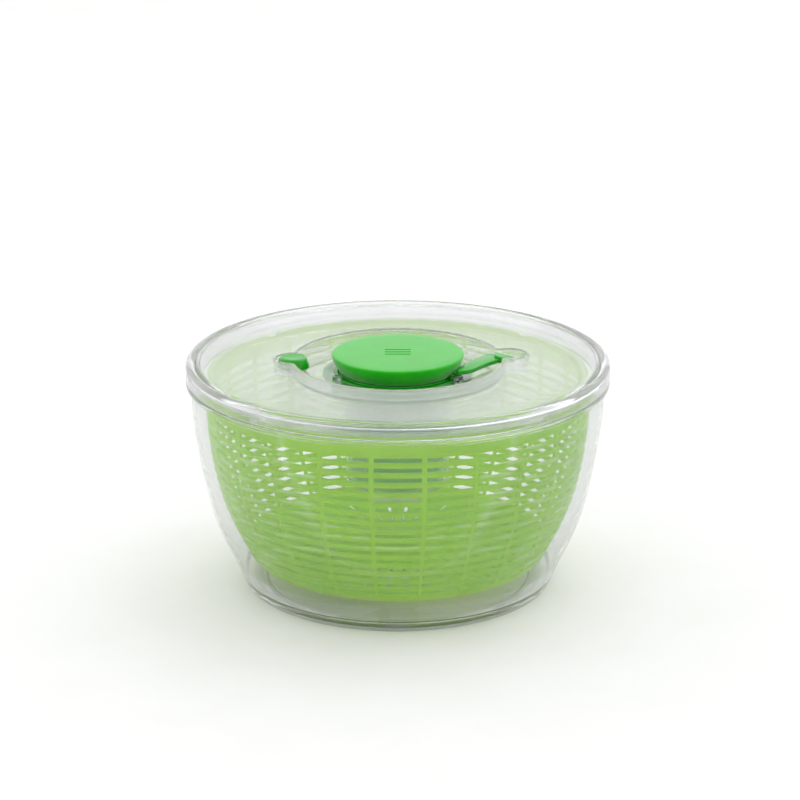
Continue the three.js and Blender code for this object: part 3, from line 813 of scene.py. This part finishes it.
def coil(low, high, wide, narrow, turns, x=0.0):
    count = int(turns * 40)
    points = []
    for k in range(count + 1):
        t = k / count
        cx, cy, z = circlePoint(wide + (narrow - wide) * t, 2 * math.pi * turns * t, low + (high - low) * t)
        points.append((cx + x, cy, z))
    return points


def springs():
    # each coil is built in place between the lid and the piece that it pushes, and stays fixed there
    s = springShape
    path = coil(s["returnLow"], s["returnHigh"], s["returnWide"], s["returnNarrow"], s["returnTurns"])
    ends = ((0, 0, s["returnLow"] * mm), (0, 0, s["returnHigh"] * mm))
    addPiece("cone_spring", toMesh("cone_spring", [tube(path, s["returnWire"])]), steel,
             ("lid", "knob", *ends), "return_spring")
    x = lidShape["lobes"][0][0]
    path = coil(s["brakeLow"], s["brakeHigh"], s["brakeRadius"], s["brakeRadius"], s["brakeTurns"], x)
    ends = ((x * mm, 0, s["brakeLow"] * mm), (x * mm, 0, s["brakeHigh"] * mm))
    addPiece("button_spring", toMesh("button_spring", [tube(path, s["brakeWire"], 10)]), steel,
             ("lid", "brake", *ends), "brake_spring")


mechanismHousing()
housingScrews()
guideCollar()
bearingBush()
retainingClip()
springs()
print("housing ready")


discShape = {
    "wellRadius": 33.0, "wellBottom": 63.5, "trackTop": 133.8, "radius": 117.0, "lipRadius": 120.2,
    "lugs": 4, "wellRibs": 9, "wellRibTurn": 255,  # degrees
    "skirtRadii": (60.0, 67.0), "skirtDepth": 9.0,
}


def driveDisc():
    s = discShape
    well, low, top, radius = s["wellRadius"], s["wellBottom"], s["trackTop"] - 1, s["radius"]
    skirts = []
    for r in s["skirtRadii"]:
        foot = top - s["skirtDepth"]
        skirts += [(r, top - 1.8, 0.3), (r + 0.3, foot, 0.2), (r + 1.1, foot, 0.2), (r + 1.4, top - 1.8, 0.3)]
    outline = [
        (10.6, low, 0.3), (well - 1.6, low, 1), (well, low + 1.6, 1), (well, 125.6, 2), (52.6, 127.8, 1.5),
        (55.6, top - 1.8, 1), *skirts, (radius - 2.4, top - 1.8, 0.5), (radius, top - 0.6, 0.6),
        (radius, 135.2, 0.3),
        (s["lipRadius"], 135.3, 0.2), (s["lipRadius"], 136.1, 0.3), (radius - 1.6, 136.1, 0.6),
        (radius - 3, top, 0.8), (68.6, top, 0.3), (68, s["trackTop"], 0.3),
        (58, s["trackTop"], 0.3), (57.4, top, 0.3), (54.6, top, 0.8), (51.6, 129.4, 1.2),
        (well - 1.7, 127.4, 1.6),
        (well - 1.7, low + 1.8, 0.8), (10.6, low + 1.8, 0.3),
    ]
    body = toMesh("disc", [turned(outline, 192)])
    lugs = [block(115.6, 119.8, 5.8, s["trackTop"], 135.2, a, 0.4)
        for a in evenAngles(s["lugs"], math.pi / 4)]
    ribs = [block(well - 0.5, well + 0.5, 1.0, low + 4, 124, a, 0.3)
        for a in evenAngles(s["wellRibs"], math.radians(s["wellRibTurn"]))]
    body = carve(body, lugs + ribs, "UNION")
    addPiece("spinning_disc", body, frosted, "disc", "drive_disc")


clutchShape = {"teeth": 8, "inner": 8.0, "outer": 13.8}


def ratchetTeeth(bottom, top, up):
    # saw teeth with one steep flank, standing up or hanging down
    s = clutchShape
    parts = []
    for angle in evenAngles(s["teeth"]):
        wide = 2 * math.pi / s["teeth"] * 0.72
        vertices = []
        for radius in (s["inner"], s["outer"]):
            for a, z in ((0, bottom), (wide, bottom), (0, top), (0.09, top)):
                vertices.append(circlePoint(radius, angle + (a if up else -a), z))
        faces = [[0, 1, 3, 2], [4, 6, 7, 5], [0, 4, 5, 1], [2, 3, 7, 6], [0, 2, 6, 4], [1, 5, 7, 3]]
        parts.append((vertices, faces))
    return parts


def clutchPieces():
    low = discShape["wellBottom"]
    cup = [
        (0, 53), (19, 53, 0.5), (20.4, 54.4, 0.5), (20.4, low - 0.3, 0.3), (17.6, low - 0.3, 0.3),
        (17.6, 55.2, 0.8),
        (0, 55.2),
    ]
    addPiece("clutch_cup", toMesh("clutch_cup", [turned(cup, 96), *ratchetTeeth(55.0, 56.6, True)]), acetal,
        "disc",
             "clutch_cup")
    driver = [(3.6, 58.6), (14, 58.6, 0.3), (14, 60, 0.3), (6, 60, 0.4), (6, 62.6, 0.3), (3.6, 62.6, 0.2)]
    addPiece("clutch_driver", toMesh("clutch_driver", [turned(driver, 96), *ratchetTeeth(58.8, 57.2,
        False)]), acetal,
             "screw", "clutch_driver")


def waveWasher():
    # a thin ring that runs in three waves, with its spring height of a few millimetres
    angles = evenAngles(120)
    vertices, faces = [], []
    for radius, lift in ((4.6, 0), (6.6, 0), (6.6, 0.35), (4.6, 0.35)):
        vertices += [circlePoint(radius, a, 56.5 + 0.85 * math.sin(3 * a) + lift) for a in angles]
    for ring in range(4):
        for k in range(120):
            n = (k + 1) % 120
            other = (ring + 1) % 4
            faces.append([ring * 120 + k, ring * 120 + n, other * 120 + n, other * 120 + k])
    addPiece("wave_washer", toMesh("wave_washer", [(vertices, faces)]), steel, "screw",
        "clutch_spring")


helixShape = {"pitch": 32.0, "bottom": 73.0, "top": 130.0, "meanRadius": 4.3, "lobeHeight": 1.3,
    "nutRadius": 4.9}


def twistedRing(meanRadius, z, count=60):
    s = helixShape
    twist = 2 * math.pi * (z - s["bottom"]) / s["pitch"]
    return [circlePoint(meanRadius + s["lobeHeight"] * math.cos(3 * a), a + twist,
        z) for a in evenAngles(count)]


def driveScrew():
    s = helixShape
    spindle = [
        (0, 57), (3.3, 57, 0.4), (3.3, 62.9), (4, 62.9), (4, 70.7), (7.4, 70.7, 0.3), (7.4, 72.2, 0.3),
        (4.6, 74, 0.4), (0, 74),
    ]
    levels = [s["bottom"] + (s["top"] - s["bottom"]) * k / 114 for k in range(115)]
    vertices, faces = [], []
    for z in levels:
        vertices += twistedRing(s["meanRadius"], z)
    for i in range(len(levels) - 1):
        for k in range(60):
            n = (k + 1) % 60
            faces.append([i * 60 + k, i * 60 + n, i * 60 + 60 + n, i * 60 + 60 + k])
    faces += [list(range(60))[::-1], list(range(len(vertices) - 60, len(vertices)))]
    addPiece("twisted_screw", toMesh("twisted_screw", [turned(spindle, 60), (vertices, faces)]), acetal,
        "screw",
             "drive_screw")


def helixNut():
    # a collar whose hole is twisted to the screw's own pitch
    s = helixShape
    low, high = 76.4, 82.6
    levels = [low + (high - low) * k / 14 for k in range(15)]
    vertices = [circlePoint(9.9, a, z) for z in levels for a in evenAngles(60)]
    for z in levels[::-1]:
        vertices += twistedRing(s["nutRadius"], z)
    rows = len(vertices) // 60
    faces = []
    for i in range(rows):
        for k in range(60):
            n = (k + 1) % 60
            other = (i + 1) % rows
            faces.append([i * 60 + k, i * 60 + n, other * 60 + n, other * 60 + k])
    addPiece("twisted_nut", toMesh("twisted_nut", [(vertices, faces)]), acetal, "knob", "helix_nut")


driveDisc()
clutchPieces()
waveWasher()
driveScrew()
helixNut()
print("drive ready")


knobShape = {
    "radius": 41.6, "footRadius": 36.3, "bottom": 138.4, "rimTop": 148.0, "top": 149.6, "gripLines": 3,
    "gripLength": 15.0, "gripSpacing": 5.0, "gripTop": 149.97,
}


def knobFlank(z, inset=0.0):
    s = knobShape
    rise = (z - s["bottom"]) / (s["rimTop"] - s["bottom"])
    return s["footRadius"] + (s["radius"] - s["footRadius"]) * math.sin(math.pi / 2 * rise) - inset


def knobCap():
    # a shallow dome over a flank that tucks in, with three short raised grip lines
    s = knobShape
    low, high = s["bottom"], s["rimTop"]
    outside = [(knobFlank(low + (high - low) * k / 10), low + (high - low) * k / 10) for k in range(11)]
    inside = [(knobFlank(z, 1.5), z) for z in (147.4, 146, 144, 142, 140, 138.4)]
    dome = [(41.52, 148.45), (41.2, 148.85), (40.6, 149.12), (39.6, 149.25)]
    dome += [(r, s["top"] - 0.35 * (r / 39.6) ** 2) for r in (34, 28, 21, 14, 7)]
    outline = [*outside, *dome, (0, s["top"]), (0, 147.7), (39, 147.7, 0.5), *inside]
    outline = outline[:-1] + [(knobFlank(low, 1.5), low, 0.3)]
    ring = turnedOnAxis(outline, 160)
    lines = []
    for k in range(s["gripLines"]):
        y = (k - (s["gripLines"] - 1) / 2) * s["gripSpacing"]
        ends = [(sx, math.radians(start + 30 * i)) for sx, start in ((1, -90), (-1, 90)) for i in range(7)]
        plan = [(s["gripLength"] / 2 * sx + 0.8 * math.cos(a), y + 0.8 * math.sin(a)) for sx, a in ends]
        lines.append(slab(plan, s["top"] - 0.6, s["gripTop"], 0.3))
    addPiece("knob_soft_cap", toMesh("knob_soft_cap", [ring, *lines]), softGreen, "knob",
        "knob_cap", 50)


def turnedOnAxis(outline, sides):
    # an outline that starts and ends off the axis but meets it on the way, as a cap does
    turn = next(i for i, p in enumerate(outline) if p[0] == 0)
    return turned(outline[turn + 1:] + outline[:turn + 1], sides)


def knobCore():
    flank = [(knobFlank(z, 1.8), z) for z in (138.8, 140, 141.5, 143, 145, 146.4, 147.4)]
    dish = [(2.4, 143.6, 0.2), (33, 143.6, 0.8), (33, 138.8, 0.3), *flank, (4.8, 147.4, 0.3),
        (4.8, 145.3, 0.2), (2.4, 145.3, 0.2)]
    parts = [turned(dish, 120)]
    for a in evenAngles(3):
        parts.append(block(26.4, 28.3, 6, 133.8, 144, a, 0.4))
        parts.append(block(26.4, 29, 6, 133.8, 135, a, 0.3))
    parts += [block(14, 32.6, 1.4, 141, 144, a, 0.2) for a in evenAngles(6, math.pi / 6)]
    addPiece("knob_hard_core", toMesh("knob_hard_core", parts), hardGreen, "knob", "knob_core")


def knobScrew():
    outline = [(0, 136), (1.2, 136.4, 0.2)]
    z = 136.8
    while z < 145:
        outline += [(2, z + 0.4), (1.7, z + 0.8)]
        z += 0.8
    outline += [(2, 145.6), (4.4, 145.6, 0.2), (4.4, 146.6, 0.4), (3.4, 147.2, 0.3), (0, 147.2)]
    mesh = carve(toMesh("pan_screw", [turned(outline, 48, steps=3)]), crossCut(2.2, 146.2, 148))
    addPiece("pan_head_screw", mesh, steel, "knob", "knob_screw")


def plunger():
    outline = [
        (10.2, 76, 0.3), (18, 76, 0.5), (18, 79, 0.6), (13.2, 79, 1), (13.2, 143.3, 0.4), (2.4, 143.3, 0.2),
        (2.4, 134, 0.2), (10.2, 134, 1),
    ]
    keys = [block(12.4, 14.9, 3, 80, 137.6, a, 0.3) for a in evenAngles(3, math.pi / 6)]
    addPiece("plunger_tube", toMesh("plunger_tube", [turned(outline, 96), *keys]), hardGreen, "knob",
        "plunger")


knobCap()
knobCore()
knobScrew()
plunger()
print("knob ready")


lockShape = {
    "ringInner": 30.6, "ringOuter": 37.0, "bottom": 134.6, "ringTop": 138.0, "armTop": 144.1,
    "armUnder": 141.4,
    "tab": (67.6, 7.8, 12.4, 9.2, 145.9), "tabSlope": 0.28, "edge": 0.5,
}


def bent(start, control, end, steps=10):
    made = []
    for k in range(steps + 1):
        t = k / steps
        made.append(tuple((1 - t) ** 2 * np.array(start) + 2 * t * (1 - t) * np.array(control)
            + t * t * np.array(end)))
    return made


def lockRing():
    s = lockShape
    ring = turned([(s["ringInner"], s["bottom"], 0.3), (s["ringOuter"], s["bottom"], 0.3),
                   (s["ringOuter"], s["ringTop"], 0.3), (s["ringInner"], s["ringTop"], 0.3)], 120)
    knobClear = [circlePoint(42.3, math.radians(a), 0)[:2] for a in range(-30, -7, 3)]
    plan = [(43.6, -4.4), *bent((44.6, -3.2), (50.4, 5.6), (57.0, 13.4)), (58, 14), (61, 13.4), (61.6, 12.8),
            (63.5, 3), (63.2, 2), *bent((62.6, 1.2), (55.4, -6), (47, -18.5)), (43.4, -21.6), (37.6, -23.6),
            *knobClear]
    arm = slab(plan, s["armUnder"], s["armTop"], s["edge"], 0.3)
    neck = [(35.5, -9), (38.9, -7.6)] + [circlePoint(39.3, math.radians(a), 0)[:2] for a in range(-12, -34,
        -3)]
    neck += [(32.5, -21), (32.5, -17)]
    web = slab(neck, 137.5, 139.2, 0.3)
    riser = slab([circlePoint(r, math.radians(a), 0)[:2] for r, a in
                  ((38.4, -12), (39.5, -12), (39.5, -19), (39.5, -26), (39.5, -32), (38.4, -32),
                  (38.4, -26), (38.4, -19))],
                 137.9, 141.2)
    ledge = slab([circlePoint(r, math.radians(a), 0)[:2] for r, a in
                  ((39.45, -10), (44, -9), (46, -16), (45, -24), (42, -30), (39.6, -31), (39.45, -24),
                  (39.45, -17))],
                 141.4, 142.4)
    x, y, wide, long, top = s["tab"]
    tabPlan = []
    for sx, sy, start in ((1, -1, -90), (1, 1, 0), (-1, 1, 90), (-1, -1, 180)):
        for i in range(5):
            a = math.radians(start + 22.5 * i)
            tabPlan.append((x + sx * (wide / 2 - 1.6) + 1.6 * math.cos(a),
                y + sy * (long / 2 - 1.6) + 1.6 * math.sin(a)))
    tab = slab(tabPlan, 141.0, top, 0.5, 0.3)
    tab = [(vx, vy, vz - (vx - x + wide / 2) * s["tabSlope"] * (vz > 142)) for vx, vy, vz in tab[0]], tab[1]
    lugs = [block(29.4, 31.4, 8, 135.2, 137.4, a, 0.3) for a in evenAngles(3)]
    addPiece("lock_latch", toMesh("lock_latch", [ring, arm, web, riser, ledge, tab, *lugs]), hardGreen,
        "lock",
             "lock_ring")


brakeShape = {"skirt": 10.4, "top": 146.2, "dish": 0.45}


def brakeButton():
    # a hollow button with a shallow dished top and a fine ring near its edge
    s = brakeShape
    top = s["top"]
    outline = [
        (0, 144.4), (7.6, 144.4, 0.4), (9.1, 139.6, 0.3), (s["skirt"], 139.6, 0.4), (10.1, 141.6, 0.8),
        (8.6, 145.4, 0.5), (7.8, top, 0.5), (7.0, top, 0.3), (6.7, top - 0.3, 0.15), (6.4, top - 0.05, 0.15),
        (3, top - s["dish"] * 0.8, 2), (0, top - s["dish"]),
    ]
    stem = turned([(0, 137.8), (2.9, 137.8, 0.3), (2.9, 144.9), (0, 144.9)], 40)
    x = lidShape["lobes"][0][0]
    addPiece("brake_push_button", toMesh("brake_push_button",
        [moved(turned(outline, 96), x), moved(stem, x)]),
             hardGreen, "brake", "brake_button")


def brakePad():
    outline = [(0, 136.2), (5.6, 136.2, 0.3), (6.6, 136.8, 0.4), (6.6, 137.5, 0.2), (0, 137.5)]
    addPiece("brake_shoe", toMesh("brake_shoe", [moved(turned(outline, 64), lidShape["lobes"][0][0])]),
        softGrey,
             "brake", "brake_pad")


lockRing()
brakeButton()
brakePad()
print("lock and brake ready")


studio = {
    "floorSize": 16.0, "worldColour": "#FFFFFF", "worldFront": 0.66, "worldBack": 1.15,
    "worldHorizon": 1.08, "target": (0.0, 0.0, 0.075),
    "distance": 1.5, "elevation": 19.66, "lens": 105.4, "shiftX": 0.00275, "shiftY": 0.079,
    "sunFrom": (0.75, 0.55, 1.5), "sunStrength": 0.42, "sunWidth": 50.0,
    "lamps": [  # place, size, power and colour of each soft box
        ("key_box", (1.1, 0.9, 1.3), 2.0, 5.0, "#FFFFFF"),
        ("left_box", (-1.5, 0.1, 0.9), 1.2, 2.0, "#FFFFFF"),
    ],
}


def aimed(thing, place, target):
    thing.location = place
    thing.rotation_mode = "QUATERNION"
    thing.rotation_quaternion = (Vector(target) - Vector(place)).to_track_quat("-Z", "Y")


def studioFloor():
    half = studio["floorSize"] / 2
    count = 8
    vertices = [(-half + 2 * half * i / count, -half + 2 * half * j / count, 0)
                for j in range(count + 1) for i in range(count + 1)]
    faces = [[j * (count + 1) + i, j * (count + 1) + i + 1, (j + 1) * (count + 1) + i + 1,
        (j + 1) * (count + 1) + i]
             for j in range(count) for i in range(count)]
    mesh = bpy.data.meshes.new("floor")
    mesh.from_pydata(vertices, [], faces)
    board = bpy.data.objects.new("floor", mesh)
    board.data.materials.append(paintedBoard())
    bpy.context.scene.collection.objects.link(board)


def studioLight():
    world = bpy.data.worlds.new("studio")
    world.use_nodes = True
    tree = world.node_tree
    # brighter behind the spinner than above its front, and even along the horizon, as in a white studio
    way = addNode(tree, "SeparateXYZ", None, Vector=addNode(tree, "TexCoord").outputs["Generated"])
    back = addNode(tree, "MapRange", None, Value=way.outputs["Y"], From_Min=-0.8, From_Max=0.6,
                   To_Min=studio["worldFront"], To_Max=studio["worldBack"])
    background = tree.nodes["Background"]
    background.inputs["Color"].default_value = hexColour(studio["worldColour"])
    horizon = addNode(tree, "MapRange", None, Value=way.outputs["Z"], From_Max=0.35, To_Min=1.0, To_Max=0.0)
    strength = addNode(tree, "Mix", None, Factor=horizon, input2=back, input3=studio["worldHorizon"])
    tree.links.new(strength.outputs[0], background.inputs["Strength"])
    bpy.context.scene.world = world
    sun = bpy.data.lights.new("sun", "SUN")
    sun.energy, sun.angle = studio["sunStrength"], math.radians(studio["sunWidth"])
    sunPlace = bpy.data.objects.new("sun", sun)
    bpy.context.scene.collection.objects.link(sunPlace)
    aimed(sunPlace, studio["sunFrom"], (0, 0, 0))
    for name, place, size, power, colour in studio["lamps"]:
        lamp = bpy.data.lights.new(name, "AREA")
        lamp.shape, lamp.size, lamp.energy, lamp.color = "SQUARE", size, power, hexColour(colour)[:3]
        box = bpy.data.objects.new(name, lamp)
        bpy.context.scene.collection.objects.link(box)
        aimed(box, place, studio["target"])


def studioCamera():
    s = studio
    rise = math.radians(s["elevation"])
    place = (0.0, s["target"][1] - s["distance"] * math.cos(rise),
        s["target"][2] + s["distance"] * math.sin(rise))
    lens = bpy.data.cameras.new("camera")
    lens.lens, lens.sensor_width, lens.shift_x, lens.shift_y = s["lens"], 36, s["shiftX"], s["shiftY"]
    camera = bpy.data.objects.new("camera", lens)
    bpy.context.scene.collection.objects.link(camera)
    aimed(camera, place, s["target"])
    bpy.context.scene.camera = camera


studioFloor()
studioLight()
studioCamera()
bpy.context.scene.view_settings.view_transform = "Standard"
print("studio ready")
